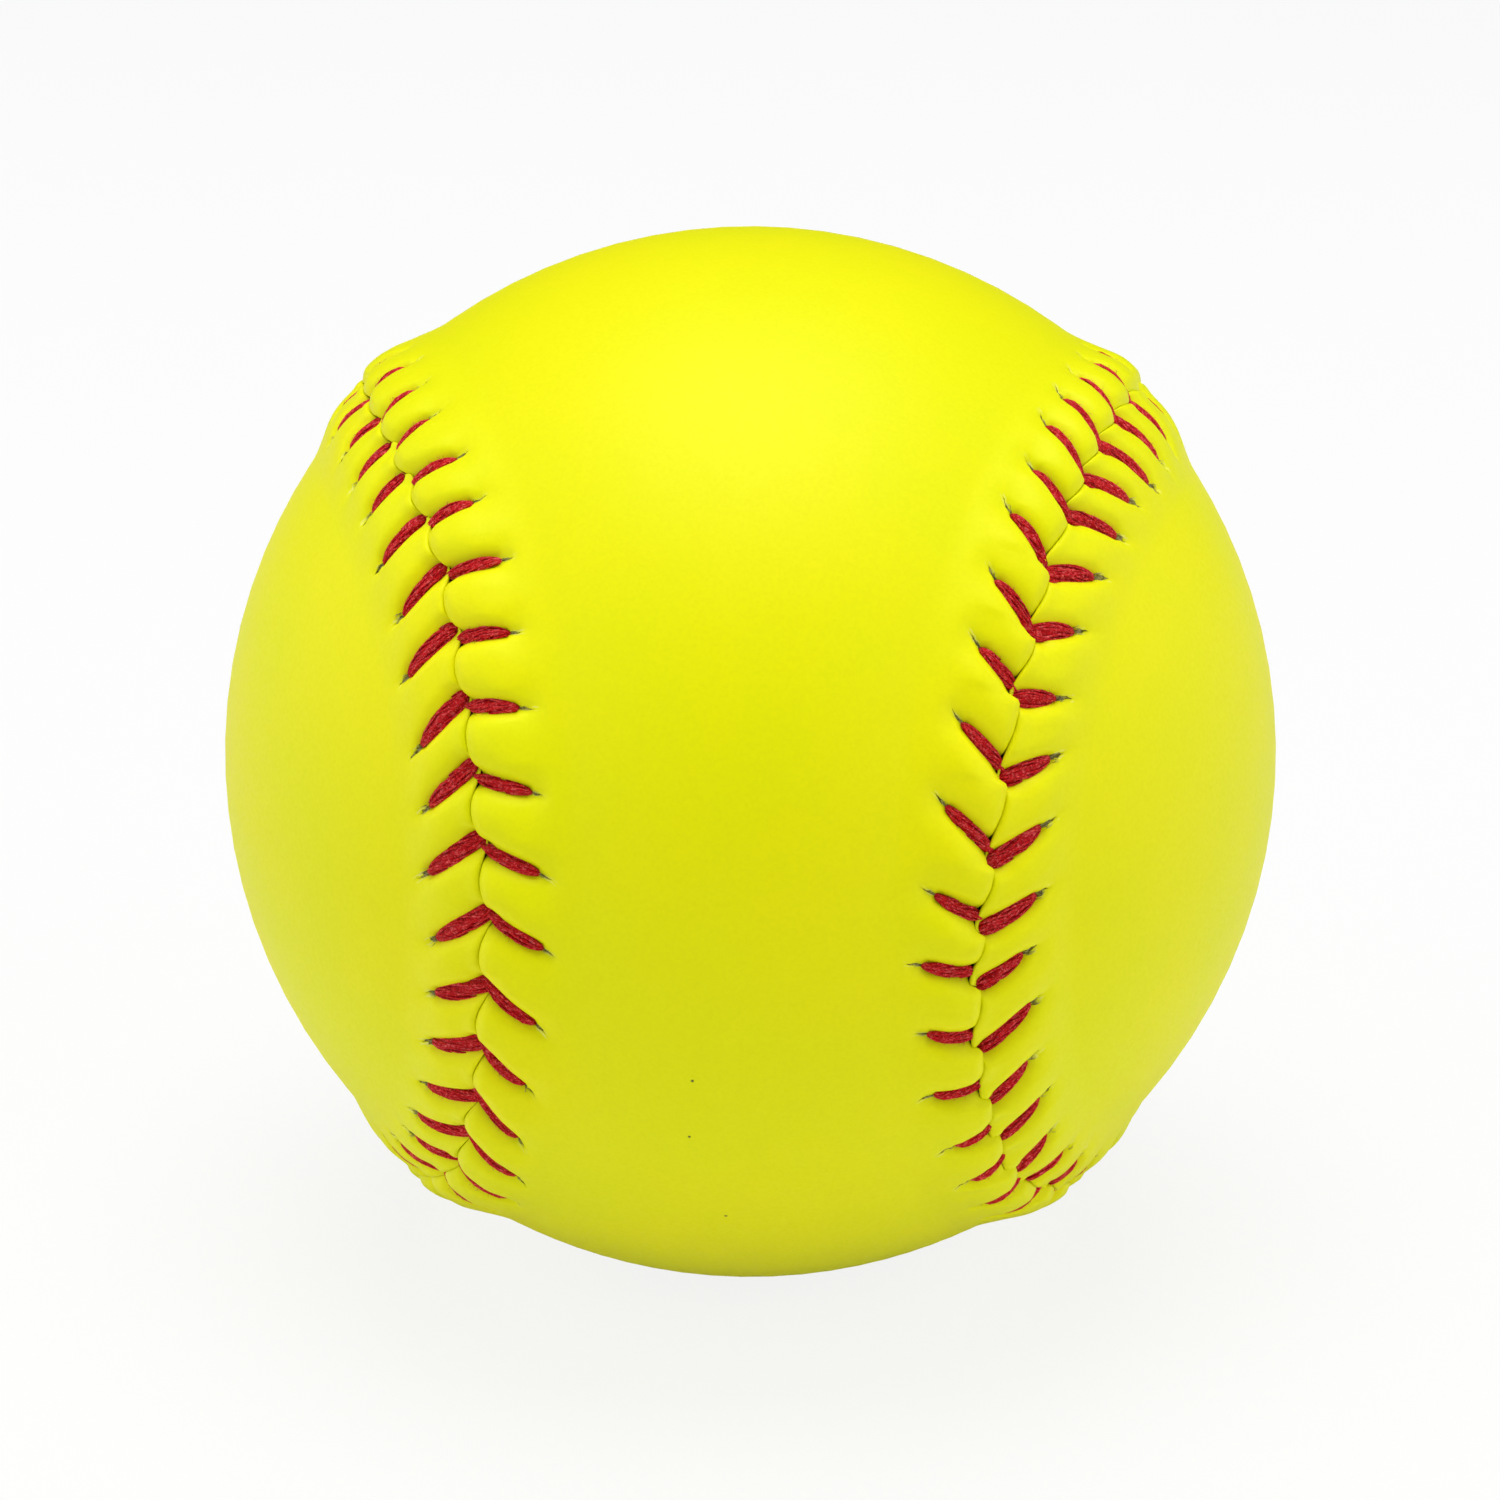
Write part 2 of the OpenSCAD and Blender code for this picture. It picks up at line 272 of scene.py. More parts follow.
@dataclass
class Relief:
    """Shape of the cover beside the seam: the raised band, the crease, and the lobes between the stitches."""

    stitching: Stitching
    # The raised band: its height, half its flat top, the width of its slope, and the lowest that the cover gets.
    crest: float = 1.35
    crest_w: float = 2.4
    slope_w: float = 6.6
    floor_h: float = -0.15
    # From where, and over what width, the cover stops following the crease.
    blend_from: float = 2.0
    blend_w: float = 4.5
    # The rounded edges at the crease, how much fuller or flatter each panel is behind its edge, and where that rises
    # and fades.
    rim_w: PerSide = per_side(1.7, 1.1)
    rim_deep: float = 0.6
    rim_round: float = 2.4
    bulge: PerSide = per_side(0.32, -0.25)
    bulge_rise: float = 1.2
    bulge_from: float = 1.5
    bulge_fade: float = 4.0
    # The valley that a leg pulls into the cover, how far it runs on past the needle hole, and by how much both vary.
    valley: PerSide = per_side(1.2, 0.75)
    valley_w: PerSide = per_side(2.7, 2.3)
    valley_round: float = 1.6
    reach: PerSide = per_side(3.4, 4.4)
    reach_stray: float = 0.8
    depth_stray: float = 0.18
    # The bed under a leg, the slit behind its needle hole, and the hollow at its crossing.
    bed: float = 0.52
    slit: float = 0.34
    slit_w: float = 0.3
    slit_past: float = 0.6
    slit_thin: PerSide = per_side(1.7, 0.9)
    funnel: float = 0.2
    funnel_w: float = 0.8
    # How far the back panel ducks under a front leg, and how far legs run on under the other panel's edge.
    tuck: float = 0.75
    tuck_w: float = 1.25
    over: PerSide = per_side(0.8, 0.15)
    # From where, and over what width, all of these fade out.
    calm_from: float = 5.4
    calm_w: float = 3.2
    # Middles of the two lengths of seam that face the camera. The valleys are deepest there, shallower towards the
    # ball's outline and deeper again behind it.
    deepest_at: tuple[float, float] = (15.0, 249.0)
    shallow_from: float = 28.0
    shallow_w: float = 16.0
    again_from: float = 60.0
    again_w: float = 20.0
    crease_steps: int = 7040
    crease_passes: int = 6
    crease_table: Array = field(init=False)

    def __post_init__(self) -> None:
        """Draws the crease once, as a table along the seam."""
        st = self.stitching
        length = st.seam.length
        s = np.arange(self.crease_steps) * length / self.crease_steps
        order = np.argsort(np.mod(st.centre, length))
        knots = np.mod(st.centre, length)[order]
        held = st.crease_at[order]
        i = np.mod(np.searchsorted(knots, s, side="right") - 1, st.count)
        j = np.mod(i + 1, st.count)
        gap = np.mod(knots[j] - knots[i], length)
        u = np.mod(s - knots[i], length) / gap
        left = st.seam.leftness(s)
        # Between two crossings the crease bows towards the back panel, most on the ball's left, and slants.
        nose = (0.15 + 0.55 * left) * (1 + 0.25 * st.mood[order][i, 0])
        lean = (0.40 - 0.25 * left) * (1 + 0.3 * st.mood[order][i, 1])
        line = held[i] * (1 - smooth(u)) + held[j] * smooth(u)
        line = line - nose * np.sin(math.pi * u ** 1.25) + lean * np.cos(math.pi * u)
        for _ in range(self.crease_passes):
            line = (np.roll(line, 1) + 2 * line + np.roll(line, -1)) / 4
        self.crease_table = np.append(line, line[0])

    def crease(self, s: Array) -> Array:
        """Distance of the crease from the seam's line, positive towards the front panel."""
        grid = np.linspace(0, self.stitching.seam.length, self.crease_steps + 1)
        return np.interp(np.mod(s, grid[-1]), grid, self.crease_table)

    def follows(self, inset: Array) -> Array:
        """Share of the crease's own shift that the cover has at distances into the panel."""
        return 1 - smooth((inset - self.blend_from) / self.blend_w)

    def leg(self, side: Side, k: int | Array) -> tuple[Array, Array, Array]:
        """How legs run from the crease to their needle holes.

        Args:
            side: Their panel.
            k: Their stations.

        Returns:
            How far into the panel each leg starts, and how far it runs from there along the seam and into the panel.
        """
        st = self.stitching
        start_d = side.value * self.crease(st.dive[side][k]) - self.over[side]
        return start_d, st.along(st.hole_s[side][k], st.dive[side][k]), st.hole_d[side][k] - start_d

    def on_leg(self, side: Side, k: int, share: Array) -> tuple[Array, Array]:
        """Points on the line of one leg.

        Args:
            side: The leg's panel.
            k: Its station.
            share: Shares of the way from the needle hole to the crossing.

        Returns:
            Lengths along the seam, and distances into the panel.
        """
        start_d, end_s, _ = self.leg(side, k)
        dive_s, hole_d = self.stitching.dive[side][k], self.stitching.hole_d[side][k]
        hole_s = dive_s + end_s
        return hole_s + (dive_s - hole_s) * share, hole_d + (start_d - hole_d) * share

    def by_leg(self, side: Side, k: int, t: Array, q: Array, up: Array) -> Array:
        """Places over the cover beside one leg.

        Args:
            side: The leg's panel.
            k: Its station.
            t: Lengths along the leg's line from the crease.
            q: Distances across it.
            up: Heights over the cover.

        Returns:
            The places, in millimetres.
        """
        start_d, end_s, end_d = self.leg(side, k)
        long = np.hypot(end_s, end_d)
        step_s, step_d = end_s / long, end_d / long
        s = self.stitching.dive[side][k] + t * step_s + q * step_d
        inset = start_d + t * step_d - q * step_s
        r = self.stitching.seam.ball_r + self.height(side, s, inset)[0] + up
        return self.stitching.seam.place(s, inset * side.value) * r[:, None]

    def firm(self, s: Array) -> Array:
        """How firmly the threads are drawn along the seam.

        Args:
            s: Lengths along the seam.

        Returns:
            Shares of the valleys' full depth.
        """
        away = np.minimum(*(np.abs(self.stitching.along(s, deepest)) for deepest in self.deepest_at))
        shallow = smooth((away - self.shallow_from) / self.shallow_w)
        again = smooth((away - self.again_from) / self.again_w)
        return 1 - 0.5 * shallow * (1 - 0.6 * again)

    def legs(self, side: Side, s: Array, inset: Array, k: int) -> tuple[Array, ...]:
        """Where points lie on the legs that cross near them.

        Args:
            side: The panel.
            s: Lengths along the seam.
            inset: Distances into the panel from the seam's line.
            k: Which of the near stations.

        Returns:
            Length along the leg from the seam, distance across it, the leg's length, and the station's number.
        """
        st = self.stitching
        i = st.near(s, k)
        start_d, end_s, end_d = self.leg(side, i)
        long = np.hypot(end_s, end_d)
        x, y = st.along(s, st.dive[side][i]), inset - start_d
        return (x * end_s + y * end_d) / long, (x * end_d - y * end_s) / long, long, i

    def height(self, side: Side, s: Array, inset: Array) -> tuple[Array, ...]:
        """Height of the cover over the ball's radius.

        Args:
            side: The panel.
            s: Lengths along the seam.
            inset: Distances into the panel from the seam's line.

        Returns:
            The height, and how far it lies below the raised band's own shape.
        """
        st = self.stitching
        w = inset - side.value * self.crease(s) * self.follows(inset)
        base = self.crest * (1 - smooth((w - self.crest_w) / self.slope_w))
        fuller = smooth(w / self.bulge_rise) * (1 - smooth((w - self.bulge_from) / self.bulge_fade))
        base = base + self.bulge[side] * fuller
        drop = np.zeros_like(base)
        for k in NEIGHBOURS:
            t, q, long, i = self.legs(side, s, inset, k)
            share = np.clip(t / long, 0, 1)
            past = t - long
            on = smooth((t + 0.3) / 0.9)
            # The valley is narrow at the crease, and spreads and fades out past the needle hole.
            fade = 1 - smooth(past / (self.reach[side] + self.reach_stray * st.mood[i, 2]))
            wide = self.valley_w[side] * (1 - 0.12 * share + 0.1 * np.clip(past, 0, 4))
            wide = wide * (0.68 + 0.32 * smooth(t / 1.4))
            deep = self.valley[side] * self.firm(s) * (1 + self.depth_stray * st.mood[i, 3]) * (1 - 0.25 * share)
            drop += deep * on * fade * np.clip(1 - np.abs(q) / wide, 0, 1) ** self.valley_round
            # The bed is widest at the leg's middle, as the leg is.
            half = (0.64 + 0.28 * np.sin(math.pi * share)) * st.broad[side]
            drop += self.bed * on * (1 - smooth(past / 0.5)) * np.exp(-np.abs(q / half) ** 3)
            # The slit is deepest just past the needle hole, and the hollow lies where the leg dives.
            slit = smooth((past + 0.5) / 0.5) * (1 - smooth((past - 0.9) / 0.9))
            drop += self.slit * slit * np.exp(-(q / self.slit_w) ** 2)
            drop += self.funnel * np.exp(-(t ** 2 + q ** 2) / self.funnel_w ** 2)
            if side is Side.BACK:
                away = st.along(s, st.dive[Side.FRONT][i])
                drop += self.tuck * np.exp(-(away ** 2 + w ** 2) / self.tuck_w ** 2)
        drop = drop * (1 - smooth((w - self.calm_from) / self.calm_w))
        short = np.clip(1 - w / self.rim_w[side], 0, 1)
        rim = self.rim_deep * (1 - (1 - short ** self.rim_round) ** (1 / self.rim_round))
        rim = rim * (1 - 0.5 * smooth(drop / 0.8))
        h = np.maximum(base - drop - rim, self.floor_h)
        return h, drop + rim

    def needle(self, side: Side, s: Array, inset: Array) -> Array:
        """Where points lie beside the needle hole that is nearest.

        Args:
            side: The panel.
            s: Lengths along the seam.
            inset: Distances into the panel from the seam's line.

        Returns:
            For each point, how far it lies past the hole and across the slit, and a number of the hole's own.
        """
        best = np.full(s.shape, FAR)
        out = np.zeros(s.shape + (3,))
        out[..., 0] = FAR
        for k in NEIGHBOURS:
            t, q, long, i = self.legs(side, s, inset, k)
            past = t - long - self.slit_past
            far = np.hypot(past, q)
            closer = far < best
            best = np.where(closer, far, best)
            # Grows fast away from the hole, so that no slit shows between two holes.
            grown = 1 + 60 * smooth((far - 1.6) / 1.2)
            across = q * grown * self.slit_thin[side]
            spot = np.stack([self.slit_past + past * grown, across, self.stitching.mood[i, 0]], -1)
            out = np.where(closer[..., None], spot, out)
        return out


class Nodes:
    """Short names for building a material's node tree."""

    def __init__(self, name: str) -> None:
        """Starts an empty material.

        Args:
            name: The material's name.
        """
        self.material = bpy.data.materials.new(name)
        self.material.use_nodes = True
        self.tree = self.material.node_tree
        self.tree.nodes.clear()
        self.out = self.add("ShaderNodeOutputMaterial")
        self.shader = self.add("ShaderNodeBsdfPrincipled")
        self.link(self.shader.outputs[0], self.out.inputs["Surface"])

    def add(self, kind: str) -> bpy.types.Node:
        """A new node."""
        return self.tree.nodes.new(kind)

    def link(self, source: Socket, target: Socket) -> None:
        """Joins two sockets."""
        self.tree.links.new(source, target)

    def feed(self, socket: Socket, value: Value) -> None:
        """Gives an input a value.

        Args:
            socket: The input.
            value: A number, a colour in linear RGB, or another node's output.
        """
        if isinstance(value, Socket):
            self.link(value, socket)
        else:
            socket.default_value = (*value, 1) if isinstance(value, tuple) else value

    def place(self) -> Socket:
        """Object coordinates."""
        return self.add("ShaderNodeTexCoord").outputs["Object"]

    def attribute(self, name: str, output: str = "Fac") -> Socket:
        """A named attribute of the mesh.

        Args:
            name: Its name.
            output: Fac for a number, or Vector.

        Returns:
            Its output.
        """
        node = self.add("ShaderNodeAttribute")
        node.attribute_name = name
        return node.outputs[output]

    def split(self, vector: Socket) -> bpy.types.NodeOutputs:
        """The three numbers of a vector.

        Args:
            vector: The vector.

        Returns:
            One output for each.
        """
        node = self.add("ShaderNodeSeparateXYZ")
        self.link(vector, node.inputs[0])
        return node.outputs

    def math(self, operation: str, *values: float | Socket) -> Socket:
        """A Math node.

        Args:
            operation: Its operation.
            values: Numbers or sockets for its inputs.

        Returns:
            Its output.
        """
        node = self.add("ShaderNodeMath")
        node.operation = operation
        for socket, value in zip(node.inputs, values):
            self.feed(socket, value)
        return node.outputs[0]

    def noise(self, vector: Socket, scale: float, detail: float = 3, rough: float = 0.55) -> Socket:
        """A Noise texture.

        Args:
            vector: Where it is read.
            scale: Its scale.
            detail: Its octaves.
            rough: Share of each finer octave.

        Returns:
            Its plain output.
        """
        node = self.add("ShaderNodeTexNoise")
        node.inputs["Scale"].default_value = scale
        node.inputs["Detail"].default_value = detail
        node.inputs["Roughness"].default_value = rough
        self.link(vector, node.inputs["Vector"])
        return node.outputs["Fac"]

    def voronoi(self, vector: Socket, scale: float) -> Socket:
        """A Voronoi texture.

        Args:
            vector: Where it is read.
            scale: Its scale.

        Returns:
            Distance from the middle of the nearest cell.
        """
        node = self.add("ShaderNodeTexVoronoi")
        node.feature = "F1"
        node.inputs["Scale"].default_value = scale
        self.link(vector, node.inputs["Vector"])
        return node.outputs["Distance"]

    def ramp(self, value: Socket, low: float, high: float, to_low: float = 0, to_high: float = 1) -> Socket:
        """A smooth Map Range.

        Args:
            value: What is mapped.
            low: Where the change starts.
            high: Where it ends.
            to_low: Output up to the start.
            to_high: Output from the end on.

        Returns:
            Its output.
        """
        node = self.add("ShaderNodeMapRange")
        node.interpolation_type = "SMOOTHSTEP"
        for name, number in (("From Min", low), ("From Max", high), ("To Min", to_low), ("To Max", to_high)):
            node.inputs[name].default_value = number
        self.link(value, node.inputs["Value"])
        return node.outputs[0]

    def mix(self, share: float | Socket, a: Triple | Socket, b: Triple | Socket) -> Socket:
        """A colour between two.

        Args:
            share: Number or socket, 0 for the first colour.
            a: First colour, linear RGB or a socket.
            b: Second colour.

        Returns:
            The mixed colour.
        """
        node = self.add("ShaderNodeMix")
        node.data_type = "RGBA"
        for socket, value in ((node.inputs[0], share), (node.inputs[6], a), (node.inputs[7], b)):
            self.feed(socket, value)
        return node.outputs[2]

    def bump(self, height: Socket, strength: float, distance: float, normal: Socket | None = None) -> Socket:
        """A Bump node.

        Args:
            height: The relief.
            strength: Share of it that shows.
            distance: Its depth in millimetres.
            normal: Another normal that it lies on.

        Returns:
            The new normal.
        """
        node = self.add("ShaderNodeBump")
        node.inputs["Strength"].default_value = strength
        node.inputs["Distance"].default_value = distance * MM
        self.link(height, node.inputs["Height"])
        if normal is not None:
            self.link(normal, node.inputs["Normal"])
        return node.outputs[0]

    def set(self, name: str, value: Value) -> None:
        """Sets or joins one of the shader's inputs."""
        self.feed(self.shader.inputs[name], value)


@dataclass(frozen=True)
class Leather:
    """Optic yellow synthetic leather with a fine grain, with painted olive shade in its creases and valleys, and dark
    in the needle slits, where the grey backing shows in painted shade.
    """

    name: str = "optic_yellow_leather"
    yellow: Triple = (0.78, 0.80, 0.0)
    warm: Triple = (0.82, 0.80, 0.0)
    # crease: olive for the grain's darker flecks, and for the painted shade that the relief attribute lays in the
    # creases, valleys and hollows.
    crease: Triple = (0.46, 0.50, 0.0)
    torn: Triple = (0.88, 0.90, 0.30)
    # The two slit colours: the grey backing's fibres seen through the needle slit, painted dark and olive as the
    # shade inside the hole.
    slit: Triple = (0.09, 0.075, 0.004)
    slit_light: Triple = (0.42, 0.37, 0.09)
    speck: Triple = (0.10, 0.11, 0.02)
    # Scales of its textures: slow changes of colour, fine grain, pores, wrinkles, and the slits' ragged edges.
    cloud_scale: float = 45
    grain_scale: float = 2600
    pore_scale: float = 2300
    wrinkle_scale: float = 900
    ragged_scale: float = 1900
    # Half the slit's width, and how far from its middle the torn lip lies.
    slit_half_w: float = 0.21
    lip_off: float = 0.24
    roughness: float = 0.5
    specular: float = 0.3
    # Dark specks: place and size.
    specks: tuple[tuple[float, float, float, float], ...] = (
        (-3.60, -47.03, -11.29, 0.26), (-3.93, -45.09, -17.44, 0.28), (-0.96, -39.90, -27.56, 0.2))

    def build(self) -> Material:
        """Makes the material.

        Returns:
            The material.
        """
        n = Nodes(self.name)
        place = n.place()
        relief = n.attribute("relief")
        past, across, own = n.split(n.attribute("needle", "Vector"))
        tint = n.mix(n.ramp(n.noise(place, self.cloud_scale, 4), 0.35, 0.65), self.yellow, self.warm)
        fine = n.noise(place, self.grain_scale, 4, 0.6)
        tint = n.mix(n.ramp(fine, 0.3, 0.8, 0, 0.10), tint, self.crease)
        # Painted shade: the further the cover lies below the raised band's shape, in the valleys, beds, hollows and
        # the crease's rounded edges, the more olive it turns.
        tint = n.mix(n.ramp(relief, 0.5, 1.4, 0, 0.65), tint, self.crease)
        ragged = n.math("SUBTRACT", n.noise(place, self.ragged_scale, 3, 0.6), 0.5)
        off = n.math("ADD", across, n.math("MULTIPLY", ragged, 0.55))
        late = n.math("ADD", past, n.math("MULTIPLY", n.math("SUBTRACT", n.noise(place, 900, 2), 0.5), 0.9))
        late = n.math("ADD", late, n.math("MULTIPLY", own, 0.25))
        body = n.math("MULTIPLY", n.ramp(late, -0.7, -0.3), n.ramp(late, 0.5, 1.9, 1, 0))
        half = n.math("MULTIPLY", body, self.slit_half_w)
        hole = n.ramp(n.math("SUBTRACT", half, n.math("ABSOLUTE", off)), 0.01, 0.06)
        lip_off = n.math("ABSOLUTE", n.math("SUBTRACT", n.math("ABSOLUTE", off), self.lip_off))
        lip = n.math("MULTIPLY", n.ramp(lip_off, 0.0, 0.12, 1, 0), n.ramp(late, 0.3, 1.0))
        lip = n.math("MULTIPLY", lip, n.ramp(late, 1.5, 2.1, 1, 0))
        lip = n.math("MULTIPLY", lip, n.ramp(n.noise(place, 700, 2), 0.38, 0.58))
        tint = n.mix(n.math("MULTIPLY", lip, 0.55), tint, self.torn)
        # Painted shade: inside the slit, the backing's fibres are painted dark olive for the shade in the hole.
        fibre = n.mix(n.ramp(n.noise(place, 3400, 3, 0.7), 0.42, 0.60), self.slit, self.slit_light)
        tint = n.mix(hole, tint, fibre)
        for x, y, z, size in self.specks:
            away = n.add("ShaderNodeVectorMath")
            away.operation = "DISTANCE"
            away.inputs[1].default_value = (x * MM, y * MM, z * MM)
            n.link(place, away.inputs[0])
            near = n.math("ADD", away.outputs["Value"], n.math("MULTIPLY", ragged, size * 1.4 * MM))
            tint = n.mix(n.ramp(near, size * 0.35 * MM, size * 0.7 * MM, 1, 0), tint, self.speck)
        n.set("Base Color", tint)
        n.set("Roughness", n.math("ADD", n.ramp(fine, 0.3, 0.7, self.roughness - 0.05, self.roughness + 0.06),
                                  n.math("MULTIPLY", hole, 0.35)))
        n.set("Specular IOR Level", self.specular)
        n.set("Specular Tint", (1.0, 1.0, 0.35))
        pores = n.ramp(n.voronoi(place, self.pore_scale), 0.0, 0.5)
        grain = n.bump(pores, 0.10, 0.05)
        grain = n.bump(n.noise(place, self.wrinkle_scale, 5, 0.6), 0.10, 0.12, grain)
        n.set("Normal", n.bump(hole, 0.9, -0.25, grain))
        return n.material


@dataclass(frozen=True)
class Yarn:
    """Waxed crimson thread: plies with fine fibres along them, with painted shade in the grooves and painted
    highlights on the fibres.
    """

    name: str = "crimson_thread"
    red: Triple = (0.66, 0.003, 0.010)
    # The pink colour is painted highlight on the fibres and strands. The dark one is painted shade in the grooves
    # between fibres, strands and plies.
    painted_highlight: Triple = (0.95, 0.18, 0.18)
    dark: Triple = (0.24, 0.0, 0.0)
    roughness: float = 0.55

    def stretched(self, n: Nodes, lay: bpy.types.NodeOutputs, around: float, along: float) -> Socket:
        """Coordinates drawn out along the plies.

        Args:
            n: The material's nodes.
            lay: Place round the ply, along it, and the ply's own number.
            around: Share kept of the first.
            along: Share kept of the second.

        Returns:
            The coordinates.
        """
        both = n.add("ShaderNodeCombineXYZ")
        n.link(n.math("MULTIPLY", lay[0], around), both.inputs[0])
        n.link(n.math("MULTIPLY", lay[1], along), both.inputs[1])
        n.link(lay[2], both.inputs[2])
        return both.outputs[0]

    def build(self) -> Material:
        """Makes the material.

        Returns:
            The material.
        """
        n = Nodes(self.name)
        lay = n.split(n.attribute("lay", "Vector"))
        fibres = n.noise(self.stretched(n, lay, 1.6, 5.5), 1.0, 3, 0.65)
        strand = n.noise(self.stretched(n, lay, 0.15, 2.4), 1.0, 2, 0.5)
        # Strands: the darker ones are painted shade between them, and the lighter ones are painted highlight.
        tint = n.mix(n.ramp(strand, 0.32, 0.50, 0.35, 1), self.dark, self.red)
        tint = n.mix(n.ramp(strand, 0.54, 0.72, 0, 0.7), tint, self.painted_highlight)
        # Fibres: painted shade in the hollows of their bump, and painted highlight on its crests.
        tint = n.mix(n.ramp(fibres, 0.36, 0.52, 0.85, 0), tint, self.dark)
        tint = n.mix(n.ramp(fibres, 0.53, 0.66, 0, 0.8), tint, self.painted_highlight)
        # Painted shade on the sides of the plies that face into the thread.
        tint = n.mix(n.ramp(n.attribute("outward"), -0.6, 0.2, 0.6, 0), tint, self.dark)
        n.set("Base Color", tint)
        n.set("Roughness", n.ramp(fibres, 0.3, 0.7, self.roughness + 0.15, self.roughness - 0.1))
        n.set("Specular IOR Level", 0.25)
        n.set("Specular Tint", (1.0, 0.35, 0.35))
        n.set("Normal", n.bump(fibres, 0.8, 0.08))
        return n.material


@dataclass(frozen=True)
class Fuzz:
    """Loose fibres, lighter at their tips."""

    name: str
    root: Triple
    tip: Triple
    roughness: float = 0.7

    def build(self) -> Material:
        """Makes the material.

        Returns:
            The material.
        """
        n = Nodes(self.name)
        n.set("Base Color", n.mix(n.ramp(n.attribute("tipward"), 0, 1), self.root, self.tip))
        n.set("Roughness", n.ramp(n.noise(n.place(), 3000), 0.3, 0.7, self.roughness - 0.1, self.roughness + 0.1))
        n.set("Specular IOR Level", 0.2)
        return n.material


@dataclass(frozen=True)
class Fabric:
    """Grey non-woven backing under the leather."""

    name: str = "grey_backing"
    light: Triple = (0.16, 0.165, 0.15)
    dark: Triple = (0.05, 0.052, 0.045)

    def build(self) -> Material:
        """Makes the material.

        Returns:
            The material.
        """
        n = Nodes(self.name)
        place = n.place()
        tangle = n.voronoi(place, 1300)
        n.set("Base Color", n.mix(n.ramp(tangle, 0.1, 0.6), self.light, self.dark))
        n.set("Roughness", n.ramp(n.noise(place, 2000), 0.3, 0.7, 0.8, 0.95))
        n.set("Normal", n.bump(tangle, 0.7, 0.15))
        return n.material


@dataclass(frozen=True)
class Latex:
    """Dried cement: tan, a little glossy, with brush marks and pinholes."""

    name: str = "latex_cement"
    tan: Triple = (0.62, 0.47, 0.24)
    pale: Triple = (0.74, 0.62, 0.38)

    def build(self) -> Material:
        """Makes the material.

        Returns:
            The material.
        """
        n = Nodes(self.name)
        place = n.place()
        marks = n.noise(place, 160, 6, 0.6)
        n.set("Base Color", n.mix(n.ramp(marks, 0.35, 0.65), self.tan, self.pale))
        n.set("Roughness", n.ramp(marks, 0.3, 0.7, 0.3, 0.5))
        n.set("Normal", n.bump(n.noise(place, 500, 4), 0.4, 0.1))
        return n.material


@dataclass(frozen=True)
class Foam:
    """Moulded core: off-white, with a fine moulded skin."""

    name: str = "moulded_core"
    white: Triple = (0.84, 0.82, 0.75)
    cream: Triple = (0.76, 0.73, 0.62)

    def build(self) -> Material:
        """Makes the material.

        Returns:
            The material.
        """
        n = Nodes(self.name)
        place = n.place()
        n.set("Base Color", n.mix(n.ramp(n.noise(place, 120, 5), 0.35, 0.65), self.white, self.cream))
        n.set("Roughness", n.ramp(n.noise(place, 900), 0.3, 0.7, 0.5, 0.65))
        n.set("Normal", n.bump(n.voronoi(place, 1100), 0.25, 0.08))
        return n.material


@dataclass(frozen=True)
class Sweep:
    """White studio floor that keeps the ball's soft shadow."""

    name: str = "studio_floor"
    white: Triple = (0.80, 0.80, 0.80)
    glow: float = 0.85

    def build(self) -> Material:
        """Makes the material.

        Returns:
            The material.
        """
        n = Nodes(self.name)
        n.set("Base Color", self.white)
        n.set("Roughness", 0.9)
        n.set("Specular IOR Level", 0.0)
        seen = n.add("ShaderNodeLightPath").outputs["Is Camera Ray"]
        glow = n.add("ShaderNodeEmission")
        glow.inputs["Strength"].default_value = 1.0
        both = n.add("ShaderNodeMixShader")
        n.link(n.math("MULTIPLY", seen, self.glow), both.inputs[0])
        n.link(n.shader.outputs[0], both.inputs[1])
        n.link(glow.outputs[0], both.inputs[2])
        n.link(both.outputs[0], n.out.inputs["Surface"])
        return n.material


def set_places(verts: list[bmesh.types.BMVert], places: Array) -> None:
    """Moves vertices to points given in millimetres."""
    for vert, place in zip(verts, (places.reshape(-1, 3) * MM).tolist()):
        vert.co = place


def set_numbers(verts: list[bmesh.types.BMVert], layer: object, numbers: list) -> None:
    """Writes one value of a vertex layer each."""
    for vert, number in zip(verts, numbers):
        vert[layer] = number


def finish_piece(bm: bmesh.types.BMesh, name: str, material: Material) -> Piece:
    """Makes a smooth-shaded object of a bmesh that rides on the ball.

    Args:
        bm: The shape, in metres. It is freed.
        name: The piece's name.
        material: Its finish.

    Returns:
        The object, linked to the scene.
    """
    for face in bm.faces:
        face.smooth = True
    mesh = bpy.data.meshes.new(name)
    bm.to_mesh(mesh)
    bm.free()
    mesh.materials.append(material)
    piece = bpy.data.objects.new(name, mesh)
    bpy.context.scene.collection.objects.link(piece)
    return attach(piece, BODY)


